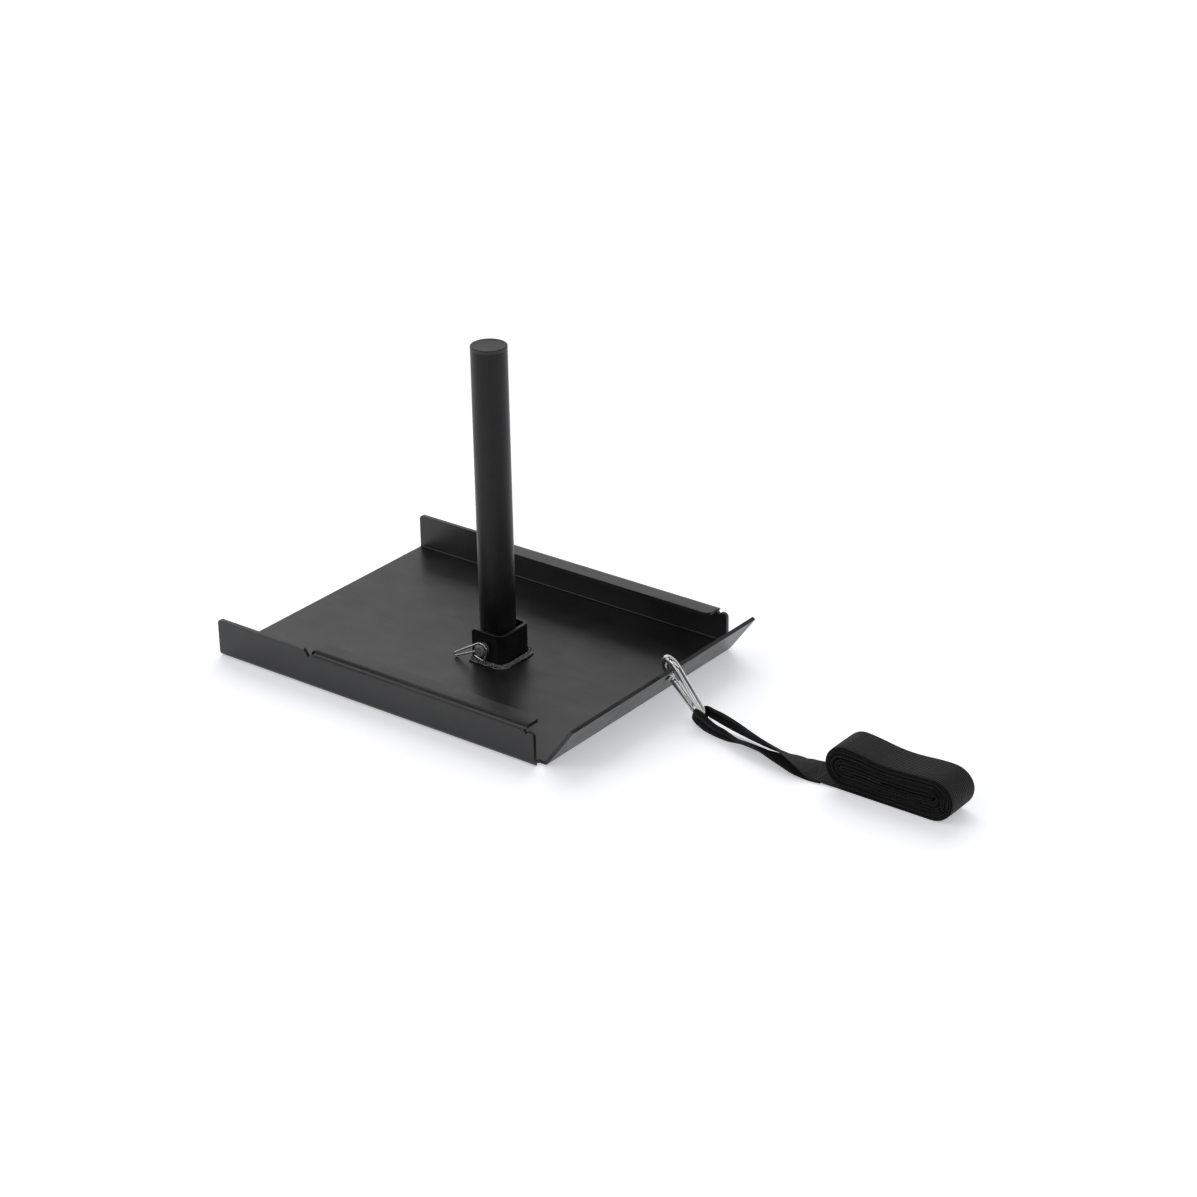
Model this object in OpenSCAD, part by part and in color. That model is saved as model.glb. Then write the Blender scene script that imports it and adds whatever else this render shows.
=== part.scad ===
// Drag sled: a folded steel pan with a socketed plate post, a cross pin with its clip,
// and a snap hook in the tow hole with a rolled-up pull strap.
// The origin is on the floor, on the axis of the plate post. +X is the towing direction.

/* [Pan] */
// Thickness of the pan's sheet steel
sheet_t = 5; // [4:0.5:6]
// Width of the pan over its side walls
pan_w = 418; // [380:1:450]
// Distance from the post axis back to the pan's rear edge
pan_rear = 308; // [260:1:340]
// Distance from the post axis forward to the front end of the side walls
wall_front = 224; // [205:1:250]
// Height of the side walls
wall_h = 53.5; // [46:0.5:62]
// Outer radius of the bends between base and side walls
base_bend_r = 7; // [6.5:0.5:10]
// Outer radius of the bends between side walls and lips
lip_bend_r = 9; // [7:0.5:11]
// Width of the folded-in lip, measured from the wall's outer face
lip_w = 30; // [22:1:40]
// Distance that the lip stops short of the wall's front end
lip_setback = 12; // [9:1:20]
// Depth of the step from the lip's top down to the short wall in front of it
front_step = 7.5; // [6:0.5:12]
// Radius of the relief where a lip ends over the front wall
relief_r = 3; // [2:0.5:4]
// Radius of the pan's top corners, rear and front
corner_r = 6; // [3:0.5:9]
// Distance from the rear edge to the middle of the V notch
notch_from_rear = 160; // [120:1:200]
// Width of the V notch at the top of the wall
notch_w = 15; // [10:1:20]
// Depth of the V notch
notch_depth = 9.5; // [6:0.5:14]

/* [Nose plate] */
// Width of the nose plate
nose_w = 392; // [340:1:400]
// Distance from the walls' front end to the sharp corner of the nose fold
nose_from_wall = 9.5; // [8:0.5:20]
// Slope of the nose plate from the horizontal
nose_angle = 53.2; // [40:0.1:62]
// Length of the nose plate's outer face up from its sharp corner
nose_len = 70.5; // [60:0.5:80]
// Outer radius of the nose fold
nose_bend_r = 8; // [7:0.5:10]
// Diameter of the tow hole
tow_hole_d = 17; // [16:0.5:19]
// Distance from the nose plate's top edge down to the tow hole
tow_edge = 14; // [13:0.5:18]
// Sideways place of the tow hole
tow_y = 16; // [-20:1:20]

/* [Plate post] */
// Outer diameter of the post
post_d = 48; // [42:0.5:49]
// Wall of the post
post_wall = 3; // [2:0.5:4]
// Height of the post's top above the floor, without its cap
post_top = 437; // [300:1:500]
// Thickness of the cap's flange
cap_t = 5; // [3:0.5:8]
// Depth of the cap's plug inside the post
cap_plug = 14; // [8:1:25]
// Width of the square socket
socket_w = 60; // [58:0.5:70]
// Wall of the socket
socket_wall = 5; // [4:0.5:5]
// Outer corner radius of the socket
socket_r = 10; // [7:0.5:12]
// Height of the socket above the pan's base
socket_h = 45; // [40:1:60]
// Leg of the weld bead round the socket
weld_leg = 6.5; // [4:0.5:8]

/* [Lock pin] */
// Diameter of the lock pin
pin_d = 16; // [12:0.5:18]
// Radial clearance of the lock pin in its holes
pin_gap = 0.2; // [0.1:0.05:0.5]
// Height of the lock pin's axis above the floor
pin_z = 26.5; // [24:0.5:32]
// Distance that the pin's clip end stands out of the socket
pin_out = 12; // [10:0.5:18]
// Diameter of the pin's head
pin_head_d = 24; // [20:0.5:30]
// Thickness of the pin's head
pin_head_t = 6; // [4:0.5:8]
// Chamfer on the pin's clip end
pin_chamfer = 1.5; // [0.5:0.1:2.5]
// Wire diameter of the pin's clip
clip_wire_d = 2.8; // [2:0.1:3]
// Distance from the pin's end in to its clip hole
clip_hole_in = 5; // [4:0.5:6]
// Tilt of the clip from the horizontal
clip_tilt = 25; // [10:1:25]
// Length of the clip behind the pin's axis
clip_len = 46; // [36:1:46]

/* [Snap hook] */
// Overall length of the hook
hook_len = 100; // [90:1:110]
// Wire diameter of the hook
hook_wire_d = 10; // [8:0.5:11]
// Outer diameter of the hook's large bow
hook_big_d = 50; // [46:1:54]
// Outer diameter of the hook's small bow
hook_small_d = 31; // [29:1:36]
// Diameter of the gate
gate_d = 9; // [8:0.5:9.5]
// Width of the gate's slots
gate_slot_w = 3.6; // [3:0.2:4]
// Side clearance of the tongues in the gate's slots
tongue_gap = 0.3; // [0.2:0.05:0.4]
// Diameter of the hinge rivet
rivet_d = 3; // [2.5:0.5:3.5]
// Diameter of the latch pin at the gate's tip
latch_d = 2.5; // [2:0.5:3]
// Slope of the hanging hook from the horizontal
hook_dip = 42; // [38:0.5:46]
// Turn of the hook about its own length
hook_roll = 22; // [15:1:28]
// Turn of the hanging hook about the vertical
hook_yaw = -8; // [-12:1:0]
// Place on the large bow that lies in the tow hole, as an angle round the bow
grip_angle = 168; // [160:1:172]

/* [Pull strap] */
// Width of the pull strap
strap_w = 50; // [40:1:52]
// Thickness of the pull strap
strap_t = 1.7; // [1.2:0.1:2]
// Number of turns in the rolled strap
roll_turns = 9; // [5:1:10]
// Height of the roll
roll_h = 60; // [56:1:66]
// Spacing of the roll's turns
roll_pitch = 2.8; // [2.7:0.1:2.8]

/* [Hidden] */
$fn = 48;
steel = [0.27, 0.27, 0.28];
zinc = [0.68, 0.68, 0.66];
webbing = [0.1, 0.1, 0.1];
eps = 0.01;

// Pan: where the lips run and where the walls are lower
lip_front = wall_front - lip_setback;
lip_z = wall_h - lip_bend_r;
front_wall_h = wall_h - front_step;
notch_x = notch_from_rear - pan_rear;
lip_rear = notch_x + notch_w / 2;
lip_corner_r = 8;

// Nose: the fold's arc and the tow hole's place on the plate
nose_x = wall_front + nose_from_wall;
nose_fold = nose_bend_r * tan(nose_angle / 2);
nose_start = nose_x - nose_fold;
tow_along = nose_len - tow_edge;

// Post, socket and pin, each from the same values as its seat
socket_top = sheet_t + socket_h;
foot_ease = 0.3;
foot_top = socket_top + 0.5;
cap_gap = 0.1;
cap_round = 0.8;
pin_hole_d = pin_d + 2 * pin_gap;
pin_near = -socket_w / 2 - pin_out;
pin_head_y = socket_w / 2 + 0.3;
clip_y = pin_near + clip_hole_in;
clip_r = clip_wire_d / 2;
clip_hole_d = clip_wire_d + 0.4;
clip_eye_r = 2.3;
clip_hug_r = pin_d / 2 + clip_r + 0.2;
clip_fillet_r = 4;
clip_leg_front = 15;
clip_tail = 6;

// Clip: the fillet between the eye's upper leg and the arc that hugs the pin
clip_leg_n = 2 * clip_eye_r;
fillet_n = clip_leg_n + clip_fillet_r;
fillet_s = sqrt(pow(clip_hug_r + clip_fillet_r, 2) - fillet_n * fillet_n);
hug_from = atan2(fillet_n, fillet_s);
tail_turn = 60;

// Hook: the two bows and the straight sides between them, in the hook's own plane
hook_r = hook_wire_d / 2;
big_r = hook_big_d / 2 - hook_r;
small_r = hook_small_d / 2 - hook_r;
bow_gap = hook_len - hook_big_d / 2 - hook_small_d / 2;
side_tilt = asin((big_r - small_r) / bow_gap);
side_len = bow_gap * cos(side_tilt);
nose_arc_end = 180 + side_tilt - 3;
tongue_t = gate_slot_w - 2 * tongue_gap;
hinge_up = 11;
stub_len = hinge_up - gate_d / 2 - 0.5;
gate_play = 0.4;
gate_fork = 8;
gate_slot_len = 19;
gate_tip = side_len - 0.4;
latch_up = gate_tip - 3.5;
plunger_gap = 0.3;
plunger_d = gate_slot_w - 0.4;
plunger_t = 2.2;
spring_wire_r = 0.35;
spring_turns = 6;
spring_r = plunger_d / 2 - spring_wire_r;
spring_gap = 0.1;

// Where the hook's wire lies in the tow hole
grip_drop = 0.5;
grip_side = 2.9;

// Strap: stations of the sewn eye, from the end of its upper leg round the small bow to the end of
// its lower leg. Each holds the strap's middle, the direction of its width, its width and thickness.
// In the hook's narrow bow the band is gathered, so there it is thicker and less wide.
EYE = [
    [[494, -22, 3.3], [0, -1, 0], 48, strap_t],
    [[476, -22, 3.5], [0, -1, 0.05], 48, strap_t],
    [[456, -22, 4.8], [0.05, -0.98, 0.1], 46, strap_t],
    [[436, -16, 7.5], [0.1, -0.95, 0.3], 38, 1.8],
    [[415, -7, 10.5], [0.25, -0.8, 0.5], 30, 2],
    [[390, 3, 12.5], [0.4, -0.6, 0.65], 25, 2.2],
    [[365, 8, 12.5], [0.5, -0.5, 0.7], 22, 2.4],
    [[348, 10, 11], [0.56, -0.46, 0.69], 20, 2.4],
    [[336, 10, 13], [0.56, -0.46, 0.69], 19, 2.8],
    [[329, 10.5, 17.5], [0.56, -0.46, 0.69], 15, 3.6],
    [[323, 7.5, 20.5], [0.56, -0.46, 0.69], 11.4, 5],
    [[320.5, 4, 20.5], [0.56, -0.46, 0.69], 10, 5.6],
    [[319.5, 0, 18], [0.56, -0.46, 0.69], 11.4, 5],
    [[322.5, -4, 13], [0.56, -0.46, 0.69], 15, 3.6],
    [[328.5, -6, 8.5], [0.56, -0.46, 0.69], 18, 2.8],
    [[338, -8, 7.7], [0.5, -0.6, 0.6], 20, 2.4],
    [[354, -11, 8.5], [0.5, -0.6, 0.6], 21, 2.2],
    [[372, -14, 9], [0.5, -0.6, 0.6], 22, 2],
    [[392, -19, 8], [0.4, -0.75, 0.45], 24, 1.9],
    [[415, -22, 5.2], [0.2, -0.95, 0.1], 30, 1.8],
    [[436, -23, 2.8], [0.05, -1, 0.02], 38, strap_t],
    [[456, -23, 1.3], [0, -1, 0], 46, strap_t],
    [[476, -23, 1], [0, -1, 0], 48, strap_t],
    [[492, -23, 1], [0, -1, 0], 48, strap_t]
];
// Stations of the lead, from the sewn end of the eye to the roll
LEAD = [
    [[494.5, -22, 3.3], [0, -1, 0], 48, strap_t],
    [[501, -22, 3], [0, -1, 0], 48.5, strap_t],
    [[509, -20, 2.2], [0, -1, 0], 49, strap_t],
    [[524, -15, 1], [0, -1, 0], strap_w, strap_t],
    [[540, -12, 0.85], [0, -1, 0], strap_w, strap_t],
    [[553, -12, 0.85], [0, -1, 0], strap_w, strap_t],
    [[566, -12, 0.85], [0, -1, 0], strap_w, strap_t]
];
// The roll: the ends of its straight run on the floor, and its middle across
roll_x1 = 566;
roll_x2 = 690;
roll_y = -12;
roll_dip = 5;
roll_fall = 4;
arc_steps = 8;
top_steps = 8;
roll_steps = 1 + 2 * arc_steps + top_steps;
roll_r = (roll_h - strap_t) / 2;

// Turn the hook's own plane into the place where it hangs in the tow hole
module at_tow_hole() {
    translate([nose_x, tow_y, 0])
        rotate([0, -nose_angle, 0])
            translate([tow_along, 0, sheet_t / 2])
                rotate([0, nose_angle, 0])
                    children();
}

module hang_hook() {
    at_tow_hole()
        translate([-grip_drop * cos(nose_angle), grip_side, -grip_drop * sin(nose_angle)])
            rotate([0, 0, hook_yaw])
                rotate([0, hook_dip - 90, 0])
                    rotate([0, 0, -hook_roll])
                        translate([-big_r * cos(grip_angle), 0, -big_r * sin(grip_angle)])
                            children();
}

// Stations of a wire that lies in the XZ plane: x, z and the direction that points out of its bend.
// Travel is clockwise where that direction turns down, and anticlockwise where it turns up.
function arc_stations(x, z, bend_r, from, to, steps, out = 0) =
    [for (k = [0 : steps])
        let (a = from + (to - from) * k / steps)
        [x + bend_r * cos(a), z + bend_r * sin(a), a + out]];

function wire_ring(station, r, sides) =
    let (a = station[2])
    [for (j = [0 : sides - 1])
        let (f = 360 * j / sides)
        [station[0] + r * cos(f) * cos(a), -r * sin(f), station[1] + r * cos(f) * sin(a)]];

module wire(STATIONS, r, sides)
    open_tube([for (s = STATIONS) wire_ring(s, r, sides)]);

// One band with rounded lower corners, as the pan's cross-section needs it
module trough(w, h, r) {
    translate([-w / 2, r])
        square([w, h - r]);
    translate([-w / 2 + r, 0])
        square([w - 2 * r, r + eps]);
    for (side = [-1, 1])
        translate([side * (w / 2 - r), r])
            circle(r = r);
}

module rounded_square(w, r) {
    square([w, w - 2 * r], center = true);
    square([w - 2 * r, w], center = true);
    for (sx = [-1, 1], sy = [-1, 1])
        translate([sx * (w / 2 - r), sy * (w / 2 - r)])
            circle(r = r);
}

// Extrude a section drawn in the YZ plane from x1 to x2
module along_x(x1, x2) {
    translate([x1, 0, 0])
        rotate([90, 0, 90])
            linear_extrude(x2 - x1)
                children();
}

// Extrude a profile drawn in the XZ plane over a width centred on y = 0
module across_y(w) {
    translate([0, w / 2, 0])
        rotate([90, 0, 0])
            linear_extrude(w)
                children();
}

// The waste outside a rounded corner: the corner is at the origin, the metal is at -x and -y
module corner_waste(r) {
    translate([-r, -r])
        difference() {
            square(r + 1);
            circle(r = r);
        }
}

module pan_walls() {
    along_x(-pan_rear, wall_front)
        difference() {
            trough(pan_w, lip_z, base_bend_r);
            translate([0, sheet_t])
                trough(pan_w - 2 * sheet_t, wall_h, base_bend_r - sheet_t);
        }
    for (side = [-1, 1]) {
        translate([-pan_rear, side * (pan_w - sheet_t) / 2 - sheet_t / 2, lip_z - eps])
            cube([lip_rear + pan_rear, sheet_t, wall_h - lip_z + eps]);
        translate([lip_front - corner_r, side * (pan_w - sheet_t) / 2 - sheet_t / 2, lip_z - eps])
            cube([wall_front - lip_front + corner_r, sheet_t, front_wall_h - lip_z + eps]);
    }
}

// The section of one lip: a quarter bend and its flat flange, for the wall at +y
module lip_section() {
    bend_y = pan_w / 2 - lip_bend_r;
    intersection() {
        translate([bend_y, lip_z])
            difference() {
                circle(r = lip_bend_r);
                circle(r = lip_bend_r - sheet_t);
            }
        translate([bend_y, lip_z])
            square(lip_bend_r + 1);
    }
    translate([pan_w / 2 - lip_w, wall_h - sheet_t])
        square([lip_w - lip_bend_r + eps, sheet_t]);
}

module lips() {
    for (side = [0, 1])
        mirror([0, side, 0])
            difference() {
                along_x(lip_rear, lip_front)
                    lip_section();
                translate([lip_front, pan_w / 2 - lip_w, lip_z])
                    linear_extrude(wall_h)
                        mirror([0, 1])
                            corner_waste(lip_corner_r);
            }
}

// The base in front of the walls, its fold and the sloping nose plate
module nose() {
    inner_r = nose_bend_r - sheet_t;
    across_y(nose_w) {
        translate([wall_front - 2, 0])
            square([nose_start - wall_front + 2 + eps, sheet_t]);
        translate([nose_start, nose_bend_r])
            intersection() {
                difference() {
                    circle(r = nose_bend_r);
                    circle(r = inner_r);
                }
                polygon([[0, 0], [0, -2 * nose_bend_r],
                         [2 * nose_bend_r * tan(nose_angle / 2), -2 * nose_bend_r],
                         [2 * nose_bend_r * sin(nose_angle), -2 * nose_bend_r * cos(nose_angle)]]);
            }
        translate([nose_x, 0])
            rotate(nose_angle)
                translate([nose_fold - eps, 0])
                    square([nose_len - nose_fold + eps, sheet_t]);
    }
}

module sled_pan() color(steel)
    difference() {
        union() {
            pan_walls();
            lips();
            nose();
        }
        // V notches that let the lips fold in front of the plain rear walls
        across_y(pan_w + 2)
            polygon([[notch_x - notch_w / 2, wall_h + eps], [notch_x - 1, wall_h - notch_depth],
                     [notch_x + 1, wall_h - notch_depth], [notch_x + notch_w / 2 + eps, wall_h + eps]]);
        // Rounded top corners of the walls, at the rear and at the front
        across_y(pan_w + 2)
            translate([-pan_rear, wall_h])
                mirror([1, 0])
                    corner_waste(corner_r);
        across_y(pan_w + 2)
            translate([wall_front, front_wall_h])
                corner_waste(corner_r);
        // Relief under the end of each lip
        across_y(pan_w + 2)
            translate([lip_front, front_wall_h])
                circle(r = relief_r);
        // Relief where each side bend ends beside the nose fold
        for (side = [-1, 1])
            translate([wall_front, side * (nose_w / 2 + base_bend_r / 2), -1])
                cylinder(h = base_bend_r + 2, r = base_bend_r / 2);
        // Tow hole, square through the nose plate
        translate([nose_x, tow_y, 0])
            rotate([0, -nose_angle, 0])
                translate([tow_along, 0, -1])
                    cylinder(h = sheet_t + 2, d = tow_hole_d);
    }

module post_socket() color(steel)
    difference() {
        translate([0, 0, sheet_t])
            linear_extrude(socket_h)
                difference() {
                    rounded_square(socket_w, socket_r);
                    rounded_square(socket_w - 2 * socket_wall, socket_r - socket_wall);
                }
        translate([0, socket_w, pin_z])
            rotate([90, 0, 0])
                cylinder(h = 2 * socket_w, d = pin_hole_d);
    }

// A point of the socket's outline pushed out by d; a goes once round
function socket_point(a, d) =
    let (c = socket_w / 2 - socket_r, q = floor(a / 90), f = (a - q * 90) / 90, r = (socket_r + 0.05 + d))
    let (corner = [[c, c], [-c, c], [-c, -c], [c, -c]][q % 4])
    [corner[0] + r * cos(q * 90 + f * 90), corner[1] + r * sin(q * 90 + f * 90)];

// The weld bead's section goes once round the socket's foot and swells a little at each corner
module socket_weld() color([0.4, 0.4, 0.41]) {
    quarter_steps = 12;
    ANGLES = [for (q = [0 : 3], k = [0 : quarter_steps]) q * 90 + 89.999 * k / quarter_steps];
    n = len(ANGLES);
    RING = [for (i = [0 : n - 1])
        let (a = ANGLES[i], swell = 0.25 * sin(i * 137))
        [
            concat(socket_point(a, 0), sheet_t),
            concat(socket_point(a, weld_leg + swell), sheet_t),
            concat(socket_point(a, weld_leg * 0.85 + swell), sheet_t + weld_leg * 0.2),
            concat(socket_point(a, weld_leg * 0.45), sheet_t + weld_leg * 0.62),
            concat(socket_point(a, weld_leg * 0.12), sheet_t + weld_leg * 0.96 + swell),
            concat(socket_point(a, 0), sheet_t + weld_leg + swell)
        ]];
    closed_tube(RING);
}

// Skin a closed loop of rings with triangles
module closed_tube(RING) {
    n = len(RING);
    m = len(RING[0]);
    polyhedron(
        points = [for (ring = RING) each ring],
        faces = [for (i = [0 : n - 1], j = [0 : m - 1])
            let (a = i * m + j, b = i * m + (j + 1) % m, c = ((i + 1) % n) * m + j,
                 d = ((i + 1) % n) * m + (j + 1) % m)
            each [[a, c, b], [b, c, d]]]);
}

// Skin an open run of rings with triangles and close both ends
module open_tube(RING) {
    n = len(RING);
    m = len(RING[0]);
    polyhedron(
        points = [for (ring = RING) each ring],
        faces = concat(
            [for (i = [0 : n - 2], j = [0 : m - 1])
                let (a = i * m + j, b = i * m + (j + 1) % m, c = (i + 1) * m + j,
                     d = (i + 1) * m + (j + 1) % m)
                each [[a, c, b], [b, c, d]]],
            [for (j = [1 : m - 2]) [0, j, j + 1]],
            [for (j = [1 : m - 2]) [(n - 1) * m, (n - 1) * m + j + 1, (n - 1) * m + j]]));
}

module plate_post() color(steel)
    difference() {
        // The foot is turned down a little where it stands in the socket
        union() {
            translate([0, 0, sheet_t])
                cylinder(h = post_top - sheet_t, d = post_d - 2 * foot_ease, $fn = 96);
            translate([0, 0, foot_top])
                cylinder(h = post_top - foot_top, d = post_d, $fn = 96);
        }
        translate([0, 0, sheet_t - 1])
            cylinder(h = post_top, d = post_d - 2 * post_wall, $fn = 96);
        translate([0, socket_w, pin_z])
            rotate([90, 0, 0])
                cylinder(h = 2 * socket_w, d = pin_hole_d);
    }

module post_cap() color([0.4, 0.4, 0.4]) {
    plug_r = post_d / 2 - post_wall - cap_gap;
    translate([0, 0, post_top])
        rotate_extrude($fn = 96)
            difference() {
                union() {
                    square([post_d / 2, cap_t - cap_round]);
                    square([post_d / 2 - cap_round, cap_t]);
                    translate([post_d / 2 - cap_round, cap_t - cap_round])
                        circle(r = cap_round);
                    translate([0, -cap_plug])
                        square([plug_r, cap_plug + eps]);
                }
                translate([-1, -cap_plug - 1])
                    square([plug_r - 2 + 1, cap_plug - 2 + 1]);
            }
}

module lock_pin() color([0.35, 0.35, 0.36])
    difference() {
        translate([0, pin_near, pin_z])
            rotate([-90, 0, 0])
                union() {
                    cylinder(h = pin_chamfer, d1 = pin_d - 2 * pin_chamfer, d2 = pin_d);
                    translate([0, 0, pin_chamfer])
                        cylinder(h = pin_head_y - pin_near - pin_chamfer, d = pin_d);
                    translate([0, 0, pin_head_y - pin_near])
                        cylinder(h = pin_head_t - 1, d = pin_head_d);
                    translate([0, 0, pin_head_y - pin_near + pin_head_t - 1])
                        cylinder(h = 1, d1 = pin_head_d, d2 = pin_head_d - 2);
                }
        translate([0, clip_y, pin_z])
            rotate([0, -clip_tilt, 0])
                rotate([0, 90, 0])
                    cylinder(h = 2 * pin_d, d = clip_hole_d, center = true);
    }

// The clip lies in the plane y = clip_y: one straight leg through the pin, an eye behind,
// and a second leg that comes back over the pin and flares up at its tip
CLIP = concat(
    [[clip_leg_front, 0, -90]],
    arc_stations(-clip_len, clip_eye_r, clip_eye_r, -90, -270, 8),
    arc_stations(-fillet_s, fillet_n, clip_fillet_r, -90, -hug_from, 3, -180),
    arc_stations(0, 0, clip_hug_r, -180 - hug_from, -360 + hug_from, 8),
    arc_stations(fillet_s, fillet_n, clip_fillet_r, hug_from - 180, hug_from - 180 + tail_turn, 4, -180));
clip_last = CLIP[len(CLIP) - 1];
CLIP_END = [clip_last[0] + clip_tail * sin(clip_last[2]), clip_last[1] - clip_tail * cos(clip_last[2]),
            clip_last[2]];

module pin_clip() color(zinc)
    translate([0, clip_y, pin_z])
        rotate([0, -clip_tilt, 0])
            wire(concat(CLIP, [CLIP_END]), clip_r, 10);

// Go to the gate's own line: z runs up it from the small bow, x points into the hook
module on_gate_line() {
    translate([-small_r * cos(side_tilt), 0, -bow_gap - small_r * sin(side_tilt)])
        rotate([0, -side_tilt, 0])
            children();
}

// The body's wire: the nose, the large bow, the spine, the small bow and the stub below the gate
HOOK = concat(
    arc_stations(0, 0, big_r, nose_arc_end, -side_tilt, 22),
    arc_stations(0, -bow_gap, small_r, -side_tilt, -180 + side_tilt, 14),
    [[-small_r * cos(side_tilt) - stub_len * sin(side_tilt),
      -bow_gap - small_r * sin(side_tilt) + stub_len * cos(side_tilt), -180 + side_tilt]]);

module hook_body() color(zinc)
    hang_hook()
        difference() {
            union() {
                wire(HOOK, hook_r, 20);
                on_gate_line() {
                    hinge_tongue();
                    latch_tongue();
                }
            }
            on_gate_line()
                translate([0, hook_wire_d, hinge_up])
                    rotate([90, 0, 0])
                        cylinder(h = 2 * hook_wire_d, d = rivet_d + 0.1);
        }

module hinge_tongue() {
    tongue_r = gate_d / 2 - 0.4;
    translate([-tongue_r, -tongue_t / 2, stub_len - 1])
        cube([2 * tongue_r, tongue_t, hinge_up - stub_len + 1]);
    translate([0, tongue_t / 2, hinge_up])
        rotate([90, 0, 0])
            cylinder(h = tongue_t, r = tongue_r);
}

// The nose's tongue hangs into the gate's upper slot, and its notch takes the latch pin
module latch_tongue() {
    tongue_top = side_len + 5;
    tongue_end = latch_up - 3.2;
    difference() {
        translate([-gate_d / 2 + 0.3, -tongue_t / 2, tongue_end])
            cube([gate_d - 1.6, tongue_t, tongue_top - tongue_end]);
        translate([0, tongue_t, latch_up])
            rotate([90, 0, 0])
                cylinder(h = 2 * tongue_t, d = latch_d + 2 * gate_play);
        translate([0, -tongue_t, latch_up - latch_d / 2 - gate_play])
            cube([gate_d, 2 * tongue_t, latch_d + 2 * gate_play]);
    }
}

module hinge_rivet() color([0.6, 0.6, 0.58])
    hang_hook()
        on_gate_line()
            translate([0, 0, hinge_up])
                rotate([90, 0, 0])
                    cylinder(h = gate_d - 0.6, d = rivet_d, center = true);

// The gate: a round bar, forked at its lower end for the hinge and at its tip for the latch
module hook_gate() color(zinc)
    hang_hook()
        on_gate_line()
            difference() {
                union() {
                    translate([0, 0, hinge_up])
                        cylinder(h = gate_tip - hinge_up, d = gate_d);
                    translate([0, 0, hinge_up])
                        intersection() {
                            rotate([90, 0, 0])
                                cylinder(h = gate_d, d = gate_d, center = true);
                            translate([0, 0, -gate_d])
                                cylinder(h = gate_d + eps, d = gate_d);
                        }
                }
                translate([-gate_d, -gate_slot_w / 2, 0])
                    cube([2 * gate_d, gate_slot_w, hinge_up + gate_slot_len]);
                translate([-gate_d, -gate_slot_w / 2, gate_tip - gate_fork])
                    cube([2 * gate_d, gate_slot_w, gate_fork + 1]);
                translate([0, gate_d, hinge_up])
                    rotate([90, 0, 0])
                        cylinder(h = 2 * gate_d, d = rivet_d + 0.2);
                translate([0, gate_d, latch_up])
                    rotate([90, 0, 0])
                        cylinder(h = 2 * gate_d, d = latch_d + 0.1);
            }

module latch_pin() color([0.6, 0.6, 0.58])
    hang_hook()
        on_gate_line()
            translate([0, 0, latch_up])
                rotate([90, 0, 0])
                    cylinder(h = gate_d - 1.4, d = latch_d, center = true);

// The plunger sits between the hinge tongue's round end and the spring
plunger_z = hinge_up + gate_d / 2 - 0.4 + plunger_gap;
spring_z1 = plunger_z + plunger_t + spring_gap + spring_wire_r;
spring_z2 = hinge_up + gate_slot_len - spring_gap - spring_wire_r;

module gate_plunger() color([0.6, 0.6, 0.58])
    hang_hook()
        on_gate_line()
            translate([0, 0, plunger_z])
                cylinder(h = plunger_t, d = plunger_d);

module gate_spring() color([0.75, 0.75, 0.75]) {
    steps = 8;
    count = spring_turns * steps;
    PATH = [for (k = [0 : count])
        [spring_r * cos(360 * k / steps), spring_r * sin(360 * k / steps),
         spring_z1 + (spring_z2 - spring_z1) * k / count]];
    hang_hook()
        on_gate_line()
            open_tube([for (k = [0 : count])
                let (a = 360 * k / steps)
                [for (j = [0 : 5])
                    PATH[k] + spring_wire_r * [cos(a) * cos(60 * j), sin(a) * cos(60 * j), sin(60 * j)]]]);
}

// The four corners of a flat strap at station i of a route
function strap_ring(ROUTE, i) =
    let (last = len(ROUTE) - 1, p = ROUTE[i][0],
         t = ROUTE[min(i + 1, last)][0] - ROUTE[max(i - 1, 0)][0],
         w0 = ROUTE[i][1], w1 = w0 - t * (w0 * t) / (t * t), w = w1 / norm(w1),
         nn = cross(t, w), n = nn / norm(nn), hw = ROUTE[i][2] / 2, ht = ROUTE[i][3] / 2)
    [p + w * hw + n * ht, p - w * hw + n * ht, p - w * hw - n * ht, p + w * hw - n * ht];

module strap_eye() color(webbing)
    open_tube([for (i = [0 : len(EYE) - 1]) strap_ring(EYE, i)]);

module strap_lead() color(webbing)
    open_tube([for (i = [0 : len(LEAD) - 1]) strap_ring(LEAD, i)]);

// The roll's middle line: each turn runs along the floor, up round the right-hand end, back over the
// top and down round the left-hand end, and each end arc brings it half a pitch further in
function roll_inset(turn, half) = roll_pitch * (turn + half / 2);

function roll_top(x) =
    let (f = min(1, max(0, (x - roll_x1) / (roll_x2 - roll_x1))))
    -roll_dip * pow(sin(180 * f), 2) - roll_fall * f;

function pressed(p) =
    [p[0], p[1] + roll_top(p[0]) * max(0, p[1] - roll_h / 2) / (roll_h / 2)];

function roll_turn(turn) = concat(
    [pressed([roll_x1, roll_h / 2 - roll_r + roll_inset(turn, 0)])],
    [for (k = [0 : arc_steps - 1])
        let (a = -90 + 180 * k / arc_steps, r = roll_r - roll_inset(turn, k / arc_steps))
        pressed([roll_x2 + r * cos(a), roll_h / 2 + r * sin(a)])],
    [for (k = [0 : top_steps - 1])
        let (r = roll_r - roll_inset(turn, 1))
        pressed([roll_x2 - (roll_x2 - roll_x1) * k / top_steps, roll_h / 2 + r])],
    [for (k = [0 : arc_steps - 1])
        let (a = 90 + 180 * k / arc_steps, r = roll_r - roll_inset(turn, 1 + k / arc_steps))
        pressed([roll_x1 + r * cos(a), roll_h / 2 + r * sin(a)])]);

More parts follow.
